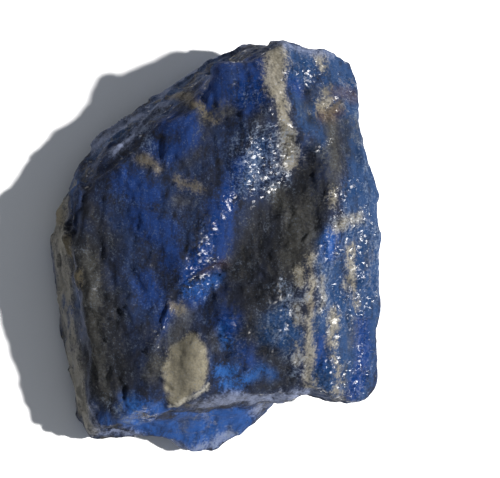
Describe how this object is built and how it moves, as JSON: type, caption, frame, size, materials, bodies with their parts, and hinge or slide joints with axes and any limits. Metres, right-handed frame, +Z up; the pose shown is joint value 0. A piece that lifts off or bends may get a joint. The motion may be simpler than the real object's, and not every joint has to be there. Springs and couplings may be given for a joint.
{
  "type": "raw lapis lazuli stone",
  "caption": "Raw broken lump of banded blue lapis lazuli: flat resting facet, gabled top with a slanting valley, a bay and low ledges along one side.",
  "frame": {"origin": "on the resting facet's plane, under the middle of the lump's bounding box", "axes": "+Z up out of the resting facet, +Y along the banding and the longest extent, +X towards the high side with the steep flank"},
  "size_m": [0.0656, 0.0858, 0.0336],
  "materials": {
    "lapis_lazuli": "rough break faces with a wet, greasy gloss, deep blue with darker grey-brown zones and tan veins along the banding"
  },
  "bodies": {
    "root": {"lapis_lump": "lapis_lazuli"}
  },
  "joints": []
}
